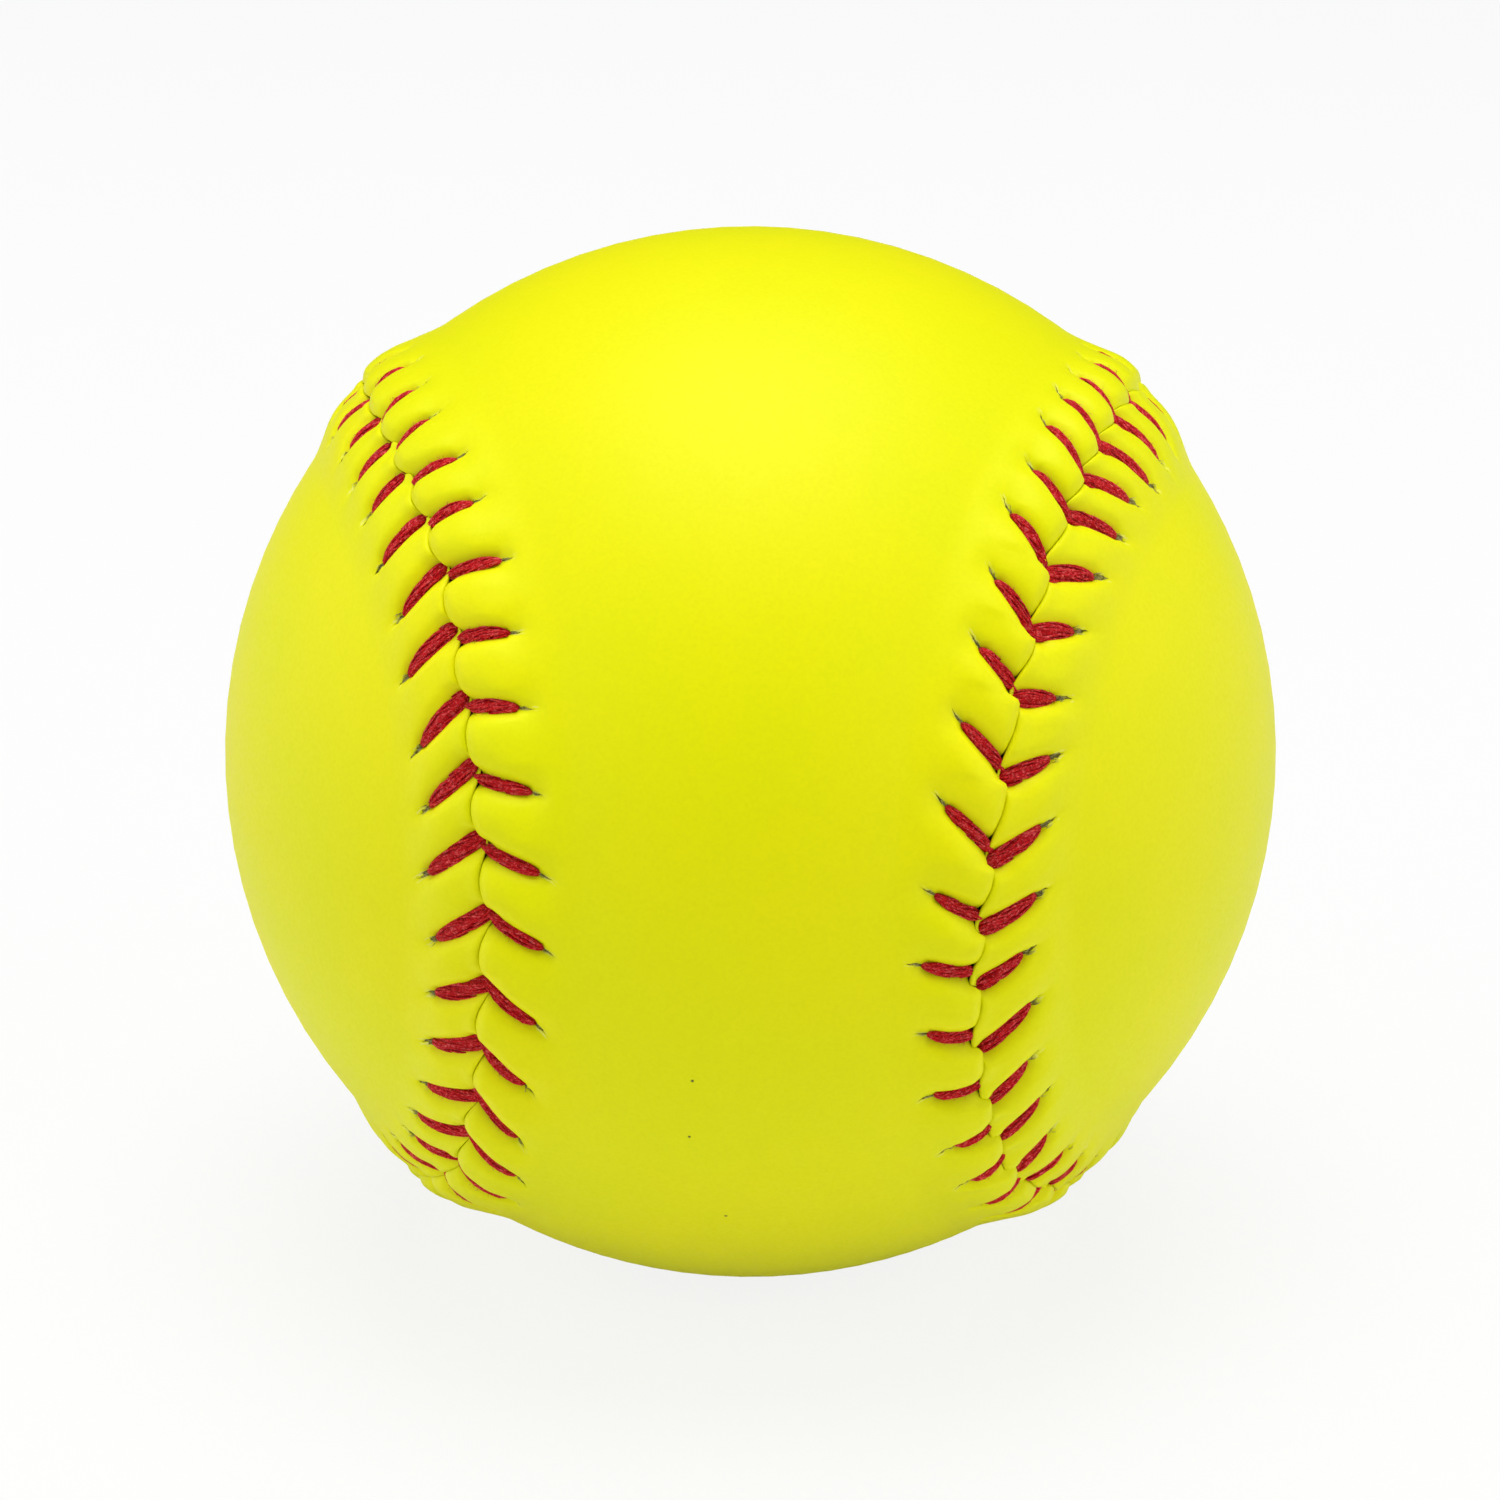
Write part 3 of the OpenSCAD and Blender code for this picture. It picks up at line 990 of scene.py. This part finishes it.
@dataclass
class Panel:
    """One figure-eight panel of leather, drawn tight over the seam's hidden threads."""

    relief: Relief
    side: Side
    skin_t: float = 1.3
    # How far the inner surface is lifted over the hidden threads, to what distance from the seam, where it stops
    # following the crease, and how far from the crease it ends.
    lift: float = 1.0
    band_w: float = 5.4
    under_blend_w: float = 6.0
    lip_w: float = 0.35
    # The mesh: columns along the seam, rows at the crease, the step of the further ones up to the band's edge, and
    # the rows of the smooth field within it.
    columns_per_stitch: int = 20
    rim_rows: tuple[float, ...] = (0.0, 0.05, 0.15, 0.32, 0.55, 0.8, 1.07)
    row_step: float = 0.31
    edge_w: float = 9.6
    field_rows: int = 9

    @property
    def node(self) -> str:
        """Name of the node that the panel stands for."""
        return f"{self.side.name.lower()}_panel_skin"

    def outer(self, s: Array) -> tuple[Array, Array, Array]:
        """Outer surface, row by row from the crease to the middle line.

        Args:
            s: Lengths along the seam, one for each column.

        Returns:
            Places in millimetres, how deep each lies, and its place beside the nearest needle hole.
        """
        seam = self.relief.stitching.seam
        steps = np.arange(self.rim_rows[-1] + self.row_step, self.edge_w - 0.8, self.row_step)
        rows = np.concatenate([self.rim_rows, steps, [self.edge_w - 0.6, self.edge_w]])
        crease = self.side.value * self.relief.crease(s)[None, :]
        w = rows[:, None]
        inset = w + crease * self.relief.follows(w)
        along = np.broadcast_to(s[None, :], inset.shape)
        height, deep = self.relief.height(self.side, along, inset)
        height = height * (1 - smooth((w - (self.edge_w - 1)) / 1))
        edge = seam.place(along, inset * self.side.value)
        band = edge * (seam.ball_r + height)[..., None]
        share = (np.arange(1, self.field_rows + 1) / self.field_rows)[:, None, None]
        middle = seam.middle(s, self.side)[None]
        inner = unit(edge[-1][None] * (1 - share) + middle * share) * seam.ball_r
        count = (self.field_rows, len(s))
        needle = self.relief.needle(self.side, along, inset)
        return (
            np.concatenate([band, inner]),
            np.concatenate([deep, np.zeros(count)]),
            np.concatenate([needle, np.full(count + (3,), FAR)]))

    def inner(self, s: Array) -> Array:
        """Inner surface, row by row from the middle line to the crease.

        Args:
            s: Lengths along the seam, one for each column.

        Returns:
            Places in millimetres.
        """
        seam = self.relief.stitching.seam
        crease = self.side.value * self.relief.crease(s)
        low = seam.ball_r - self.skin_t
        edge = seam.place(s, (self.band_w + self.lift * 3) * self.side.value)
        middle = seam.middle(s, self.side)
        rows = [middle * low, unit(edge + middle) * low, edge * low]
        for w in (self.band_w, self.lip_w):
            inset = w + crease * (1 - smooth(np.array(w / self.under_blend_w)))
            rows.append(seam.place(s, inset * self.side.value) * (low + self.lift))
        return np.stack(rows)

    def build(self, leather: Material) -> Piece:
        """Models the panel as one closed skin.

        Args:
            leather: Its finish.

        Returns:
            The piece.
        """
        seam = self.relief.stitching.seam
        columns = self.relief.stitching.count * self.columns_per_stitch
        s = np.arange(columns + 1) * seam.length / columns
        top, deep, needle = self.outer(s)
        under = self.inner(s)
        places = np.concatenate([under, top])
        # The inner surface counts as deep, so it takes the leather's full painted shade.
        deep = np.concatenate([np.full(under.shape[:2], 2.0), deep])
        needle = np.concatenate([np.full(under.shape, FAR), needle])
        bm = bmesh.new()
        relief = bm.verts.layers.float.new("relief")
        spot = bm.verts.layers.float_vector.new("needle")
        bmesh.ops.create_grid(bm, x_segments=columns, y_segments=len(places) - 1, size=1)
        set_places(bm.verts, places)
        set_numbers(bm.verts, relief, deep.ravel().tolist())
        set_numbers(bm.verts, spot, needle.reshape(-1, 3).tolist())
        bmesh.ops.remove_doubles(bm, verts=bm.verts, dist=2e-6)
        bmesh.ops.recalc_face_normals(bm, faces=bm.faces)
        piece = finish_piece(bm, f"{self.side.name.lower()}_leather_panel", leather)
        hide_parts(self.node)
        return piece


@dataclass
class Thread:
    """One of the two threads: plies of yarn that run through every station, on alternate panels."""

    relief: Relief
    name: str
    start: Side
    seed: int = 40
    # The plies, the length of one turn of their twist, how far each strays from it and how uneven it is.
    plies: int = 16
    ply_r: float = 0.115
    ply_sides: int = 4
    turn_length: float = 22.0
    stray: float = 0.32
    uneven: float = 0.16
    wander_steps: int = 900
    # The legs: half thickness, how deep they sink into the cover, the share of the way up to which they follow its
    # height, and how much narrower they get at the crossing.
    half_t: float = 0.43
    sunk: float = 0.16
    level_to: float = 0.86
    pinch: PerSide = per_side(0.42, 0.0)
    # The hidden runs: radius on which they lie, and half width.
    under_r: float = 46.95
    under_half_w: float = 0.42

    # Stops of the route at one station: share of the way from needle hole to crossing, height over the leg's own
    # level, and half width of the thread.
    STOPS = (
        (-0.06, -1.2, 0.28), (-0.03, -0.5, 0.31), (0.03, -0.15, 0.38), (0.12, 0.0, 0.51),
        (0.24, 0.04, 0.65), (0.37, 0.06, 0.75), (0.51, 0.06, 0.79), (0.65, 0.04, 0.77),
        (0.78, 0.0, 0.72), (0.88, -0.08, 0.64), (0.955, -0.25, 0.55), (1.0, -0.62, 0.46), (1.01, -1.2, 0.42))

    def sides(self) -> list[tuple[int, Side]]:
        """Stations in the order in which the thread passes them, each with its panel."""
        count = self.relief.stitching.count
        return [(k, self.start if k % 2 == 0 else self.start.other) for k in reversed(range(count))]

    def route(self) -> tuple[Array, Array, Array, Array]:
        """Middle line of the thread.

        Returns:
            Points, half widths, half thicknesses, and the seam's heading at each point.
        """
        st, seam = self.relief.stitching, self.relief.stitching.seam
        share, over, half_w = np.array(self.STOPS).T
        points, widths, heads = [], [], []
        for k, side in self.sides():
            bow = 0.10 * st.mood[k, 1] * np.sin(math.pi * np.clip(share, 0, 1))
            s, inset = self.relief.on_leg(side, k, share)
            s = s + bow
            level_s, level_d = self.relief.on_leg(side, k, np.clip(share, 0.0, self.level_to))
            level = self.relief.height(side, level_s, level_d)[0]
            level = np.convolve(np.pad(level, 2, mode="edge"), np.ones(5) / 5, mode="valid")
            r = seam.ball_r + level + self.half_t - self.sunk + over
            r[0] = max(self.under_r + 0.6, r[0])
            points.append(seam.place(s, inset * side.value) * r[:, None])
            slim = 1 - self.pinch[side] * smooth((share - 0.55) / 0.45)
            widths.append(half_w * st.broad[side] * slim * (1 + 0.06 * st.mood[k, 2]))
            heads.append(seam.heading(s))
        all_points, all_widths, all_heads = [], [], []
        for i, here in enumerate(points):
            after = points[(i + 1) % len(points)]
            last = unit(here[-1]) * self.under_r
            first = unit(after[0]) * self.under_r
            run = np.stack([last, unit(last + first) * self.under_r, first])
            if i == len(points) - 1:
                run = run[:2]
            all_points.append(np.concatenate([here, run]))
            all_widths.append(np.concatenate([widths[i], np.full(len(run), self.under_half_w)]))
            all_heads.append(np.concatenate([heads[i], np.repeat(heads[i][-1:], len(run), 0)]))
        p = np.concatenate(all_points)
        widths = np.concatenate(all_widths)
        return p, widths, np.minimum(self.half_t, 0.95 * widths), np.concatenate(all_heads)

    def axes(self, p: Array, heads: Array) -> tuple[Array, Array]:
        """Flat side and upper side of the thread at each point.

        Args:
            p: The route.
            heads: The seam's heading at each point.

        Returns:
            Unit vectors across the thread and out of the cover.
        """
        step = np.gradient(p, axis=0)
        out = unit(p)
        level = step - out * np.sum(step * out, 1, keepdims=True)
        wide = np.roll(level, 1, 0) + level + np.roll(level, -1, 0)
        across = unit(np.cross(out, wide))
        across *= np.where(np.sum(across * heads, 1, keepdims=True) < 0, 1, -1)
        for _ in range(2):
            across = unit(np.roll(across, 1, 0) + 2 * across + np.roll(across, -1, 0))
        along = unit(step)
        across = unit(across - along * np.sum(across * along, 1, keepdims=True))
        return across, np.cross(along, across) * np.sign(
            np.sum(np.cross(along, across) * out, 1, keepdims=True) + 1e-9)

    def build(self, yarn: Material) -> Piece:
        """Models the thread, each ply as one tube from end to end.

        Args:
            yarn: Its finish.

        Returns:
            The piece.
        """
        rng = np.random.default_rng(self.seed + self.start.value)
        p, half_w, half_t, heads = self.route()
        across, up = self.axes(p, heads)
        run = np.concatenate([[0], np.cumsum(np.linalg.norm(np.diff(p, axis=0), axis=1))])
        bm = bmesh.new()
        lay = bm.verts.layers.float_vector.new("lay")
        outward = bm.verts.layers.float.new("outward")
        around = np.arange(self.ply_sides + 1) / self.ply_sides * 2 * math.pi
        marks = np.linspace(0, run[-1], self.wander_steps)
        for ply in range(self.plies + 1):
            core = ply == self.plies
            wander = np.interp(run, marks, rng.normal(0, self.stray, self.wander_steps))
            angle = 2 * math.pi * (ply / self.plies + run / self.turn_length) + wander
            r = self.ply_r * (1 + self.uneven * np.interp(run, marks, rng.normal(0, 1, self.wander_steps)))
            reach = 0.0 if core else 1.0
            x = reach * (half_w - r) * np.cos(angle)
            y = reach * (half_t - r) * np.sin(angle)
            wide = (half_w - r * 0.6 if core else r)[:, None]
            high = (half_t - r * 0.6 if core else r)[:, None]
            ring_x = x[:, None] + wide * np.cos(around)
            ring_y = y[:, None] + high * np.sin(around)
            places = p[:, None] + across[:, None] * ring_x[..., None] + up[:, None] * ring_y[..., None]
            made = bmesh.ops.create_grid(bm, x_segments=self.ply_sides, y_segments=len(p) - 1, size=1)["verts"]
            set_places(made, places)
            u = np.broadcast_to(around / (2 * math.pi) * 6, ring_x.shape)
            v = np.broadcast_to(run[:, None], ring_x.shape)
            set_numbers(made, lay, np.stack([u, v, np.full(u.shape, ply * 3.7)], -1).reshape(-1, 3).tolist())
            face_out = np.cos(around)[None] * np.cos(angle)[:, None] + np.sin(around)[None] * np.sin(angle)[:, None]
            set_numbers(made, outward, (np.full(u.shape, -0.2) if core else face_out).ravel().tolist())
        bmesh.ops.remove_doubles(bm, verts=bm.verts, dist=1e-7)
        ends = [edge for edge in bm.edges if edge.is_boundary]
        bmesh.ops.holes_fill(bm, edges=ends, sides=0)
        bmesh.ops.recalc_face_normals(bm, faces=bm.faces)
        piece = finish_piece(bm, f"{self.name}_yarn", yarn)
        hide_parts(self.name)
        return piece


@dataclass
class Hairs:
    """Short loose fibres, each a tapered three-sided tube of two lengths."""

    name: str
    slot: str
    root_r: float
    lines: list[Array] = field(default_factory=list)
    tapers: tuple[float, ...] = (1.0, 0.75, 0.25)
    corners: int = 3

    def add(self, root: Array, bend: Array, tip: Array) -> None:
        """Adds fibres by where they start, bend and end, in millimetres."""
        self.lines.append(np.stack([root, bend, tip], 1))

    def build(self, material: Material) -> Piece:
        """Copies one fibre and bends each copy to its place.

        Args:
            material: Its finish.

        Returns:
            The piece.
        """
        line = np.concatenate(self.lines)
        rings, ring_verts = len(self.tapers), self.corners + 1
        verts = len(line) * rings * ring_verts
        bm = bmesh.new()
        tipward = bm.verts.layers.float.new("tipward")
        bmesh.ops.create_grid(bm, x_segments=self.corners, y_segments=rings - 1, size=1)
        while len(bm.verts) < verts:
            bmesh.ops.duplicate(bm, geom=bm.verts[:] + bm.edges[:] + bm.faces[:])
        bm.verts.ensure_lookup_table()
        bmesh.ops.delete(bm, geom=bm.verts[verts:], context="VERTS")
        along = unit(line[:, -1] - line[:, 0])
        a = unit(np.cross(along, unit(line[:, 0]) + 0.01))
        b = np.cross(along, a)
        angle = np.arange(ring_verts) / self.corners * 2 * math.pi
        ring = a[:, None, None] * np.cos(angle)[:, None] + b[:, None, None] * np.sin(angle)[:, None]
        taper = np.array(self.tapers)[None, :, None, None] * self.root_r
        set_places(bm.verts, line[:, :, None] + ring * taper)
        shares = np.repeat(np.linspace(0, 1, rings), ring_verts)
        set_numbers(bm.verts, tipward, np.tile(shares, len(line)).tolist())
        bmesh.ops.remove_doubles(bm, verts=bm.verts, dist=1e-8)
        ends = [edge for edge in bm.edges if edge.is_boundary]
        bmesh.ops.holes_fill(bm, edges=ends, sides=self.corners)
        bmesh.ops.recalc_face_normals(bm, faces=bm.faces)
        return finish_piece(bm, self.name, material)


@dataclass
class Studio:
    """Floor, lamps and camera."""

    rest_z: float = -48.51
    fill: float = 0.06
    # The camera as fitted to the photograph, in degrees, millimetres and pixels.
    azimuth: float = 1.35
    elevation: float = 21.0
    roll: float = 0.3
    away: float = 363.75
    focal_px: float = 3906.0
    frame_px: float = 1500.0
    middle_px: tuple[float, float] = (750.5, 751.5)
    sensor: float = 36.0

    def floor(self) -> None:
        """A wide floor under the ball."""
        bm = bmesh.new()
        bmesh.ops.create_grid(bm, x_segments=8, y_segments=8, size=4)
        mesh = bpy.data.meshes.new("studio_floor")
        bmesh.ops.translate(bm, verts=bm.verts, vec=(0, 0, self.rest_z * MM))
        bm.to_mesh(mesh)
        bm.free()
        mesh.materials.append(Sweep().build())
        floor = bpy.data.objects.new("studio_floor", mesh)
        bpy.context.scene.collection.objects.link(floor)

    def world(self) -> None:
        """Even light from all round, white to the camera."""
        world = bpy.data.worlds.new("studio")
        bpy.context.scene.world = world
        world.use_nodes = True
        tree = world.node_tree
        tree.nodes.clear()
        out = tree.nodes.new("ShaderNodeOutputWorld")
        both = tree.nodes.new("ShaderNodeMixShader")
        path = tree.nodes.new("ShaderNodeLightPath")
        tree.links.new(path.outputs["Is Camera Ray"], both.inputs[0])
        for socket, strength in zip(both.inputs[1:], (self.fill, 1.0)):
            light = tree.nodes.new("ShaderNodeBackground")
            light.inputs["Strength"].default_value = strength
            tree.links.new(light.outputs[0], socket)
        tree.links.new(both.outputs[0], out.inputs[0])

    def lamp(self, name: str, place: Triple, size: float, power: float) -> None:
        """A soft square lamp that faces the ball.

        Args:
            name: Its name.
            place: Where it hangs, in metres.
            size: Its width, in metres.
            power: Its power in watts.
        """
        data = bpy.data.lights.new(name, "AREA")
        data.shape = "RECTANGLE"
        data.size = data.size_y = size
        data.energy = power
        lamp = bpy.data.objects.new(name, data)
        bpy.context.scene.collection.objects.link(lamp)
        lamp.location = place
        lamp.rotation_mode = "QUATERNION"
        lamp.rotation_quaternion = (-Vector(place)).to_track_quat("-Z", "Y")
        lamp.visible_camera = False

    def camera(self) -> None:
        """Camera at the viewing angle of the photograph."""
        az, el, roll = (math.radians(x) for x in (self.azimuth, self.elevation, self.roll))
        back = Vector((math.sin(az) * math.cos(el), -math.cos(az) * math.cos(el), math.sin(el)))
        data = bpy.data.cameras.new("camera")
        data.sensor_width = self.sensor
        data.lens = self.sensor * self.focal_px / self.frame_px
        data.shift_x = (self.frame_px / 2 - self.middle_px[0]) / self.frame_px
        data.shift_y = (self.middle_px[1] - self.frame_px / 2) / self.frame_px
        data.clip_start, data.clip_end = 0.01, 50
        camera = bpy.data.objects.new("camera", data)
        bpy.context.scene.collection.objects.link(camera)
        camera.location = back * self.away * MM
        camera.rotation_mode = "QUATERNION"
        turn = (-back).to_track_quat("-Z", "Y").to_matrix().to_4x4()
        camera.rotation_quaternion = (turn @ Matrix.Rotation(roll, 4, "Z")).to_quaternion()
        bpy.context.scene.camera = camera

    def build(self) -> None:
        """Sets up everything that isn't part of the ball."""
        self.floor()
        self.world()
        self.lamp("overhead_softbox", (0.0, 0.0, 1.3), 1.0, 16.7)
        self.lamp("left_softbox", (-1.25, 0.0, 0.35), 1.7, 9.3)
        self.lamp("right_softbox", (1.25, 0.0, 0.35), 1.7, 7.8)
        self.lamp("left_front_softbox", (-1.0, -0.9, 0.35), 1.2, 4.6)
        self.lamp("right_front_softbox", (1.0, -0.9, 0.35), 1.2, 5.8)
        self.camera()
        bpy.context.scene.view_settings.view_transform = "Standard"


@dataclass
class Ball:
    """The whole softball."""

    seam: Seam = field(default_factory=Seam)
    seed: int = 11
    fuzz_per_leg: int = 12
    tufts_per_hole: dict[Side, int] = per_side(6, 22)
    tuft_spread: PerSide = per_side(0.05, 0.15)

    def leg_fuzz(self, relief: Relief, rng: np.random.Generator) -> Hairs:
        """Fibres that stand off the thread's legs.

        Args:
            relief: Shape of the cover.
            rng: Source of chance.

        Returns:
            The fibres.
        """
        st = relief.stitching
        hairs = Hairs("thread_fuzz", "thread", 0.014)
        at, over, half_w = np.array(Thread.STOPS).T
        each = self.fuzz_per_leg
        for side in Side:
            for k in range(st.count):
                share = rng.uniform(0.1, 0.88, each)
                half = np.interp(share, at, half_w) * st.broad[side]
                lean = rng.choice([-1, 1], each) * rng.uniform(0.3, 0.9, each)
                off = lean * half * 0.9
                mid_s, d = relief.on_leg(side, k, share)
                s = mid_s + off
                level = relief.height(side, mid_s, d)[0] + Thread.half_t - Thread.sunk
                level = level + np.interp(share, at, over) + Thread.half_t * 0.8 * np.sqrt(1 - lean ** 2)
                out = self.seam.place(s, d * side.value)
                root = out * (self.seam.ball_r + level)[:, None]
                size = rng.uniform(0.2, 0.55, each)[:, None]
                flat = self.seam.heading(s) * np.sign(off)[:, None] + rng.normal(0, 0.7, (each, 3))
                away = unit(flat - out * np.sum(flat * out, 1, keepdims=True))
                bend = root + (away * 0.5 + out * 0.25) * size
                hairs.add(root, bend, root + (away + out * rng.uniform(-0.1, 0.4, (each, 1))) * size)
        return hairs

    def slit_tufts(self, relief: Relief, rng: np.random.Generator) -> Hairs:
        """Fibres of the backing that show in the needle slits.

        Args:
            relief: Shape of the cover.
            rng: Source of chance.

        Returns:
            The fibres.
        """
        hairs = Hairs("backing_tufts", "backing", 0.028)
        for side in Side:
            each = self.tufts_per_hole[side]
            for k in range(relief.stitching.count):
                _, end_s, end_d = relief.leg(side, k)
                t0 = np.hypot(end_s, end_d) + rng.uniform(-0.1, 0.5, each)
                q0 = rng.normal(0, self.tuft_spread[side], each)
                run = rng.uniform(0.3, 0.8, each)
                root = relief.by_leg(side, k, t0, q0, np.zeros(each))
                bend_q, bend_up = q0 + rng.normal(0, 0.07, each), rng.uniform(0.03, 0.14, each)
                bend = relief.by_leg(side, k, t0 + run * 0.5, bend_q, bend_up)
                tip_q, tip_up = q0 + rng.normal(0, 0.10, each), rng.uniform(0.0, 0.12, each)
                hairs.add(root, bend, relief.by_leg(side, k, t0 + run, tip_q, tip_up))
        return hairs

    def build(self) -> None:
        """Builds and dresses each piece in turn."""
        relief = Relief(Stitching(self.seam))
        leather, yarn = Leather().build(), Yarn().build()
        rng = np.random.default_rng(self.seed)
        fuzz = Fuzz("thread_fibres", (0.45, 0.01, 0.02), (0.8, 0.12, 0.16))
        tuft = Fuzz("backing_fibres", (0.20, 0.165, 0.035), (0.60, 0.55, 0.26))
        made = [Panel(relief, side).build(leather) for side in Side]
        made += [
            Thread(relief, "first_thread", Side.FRONT).build(yarn),
            Thread(relief, "second_thread", Side.BACK).build(yarn),
            self.leg_fuzz(relief, rng).build(fuzz.build()),
            self.slit_tufts(relief, rng).build(tuft.build())]
        for piece in made:
            LOG.info("%s: %d faces", piece.name, len(piece.data.polygons))
        finishes = {
            "core": Foam().build(), "cement_coat": Latex().build(),
            "front_panel_backing": Fabric().build(), "back_panel_backing": Fabric("grey_backing_2").build()}
        for node, finish in finishes.items():
            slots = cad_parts[node].data.materials
            slots.clear()
            slots.append(finish)
            LOG.info("%s: carried over with %s", node, finish.name)


def main() -> None:
    """Builds the ball and the studio."""
    logging.basicConfig(level=logging.INFO, format="%(name)s %(message)s")
    Ball().build()
    Studio().build()


if __name__ == "__main__":
    main()
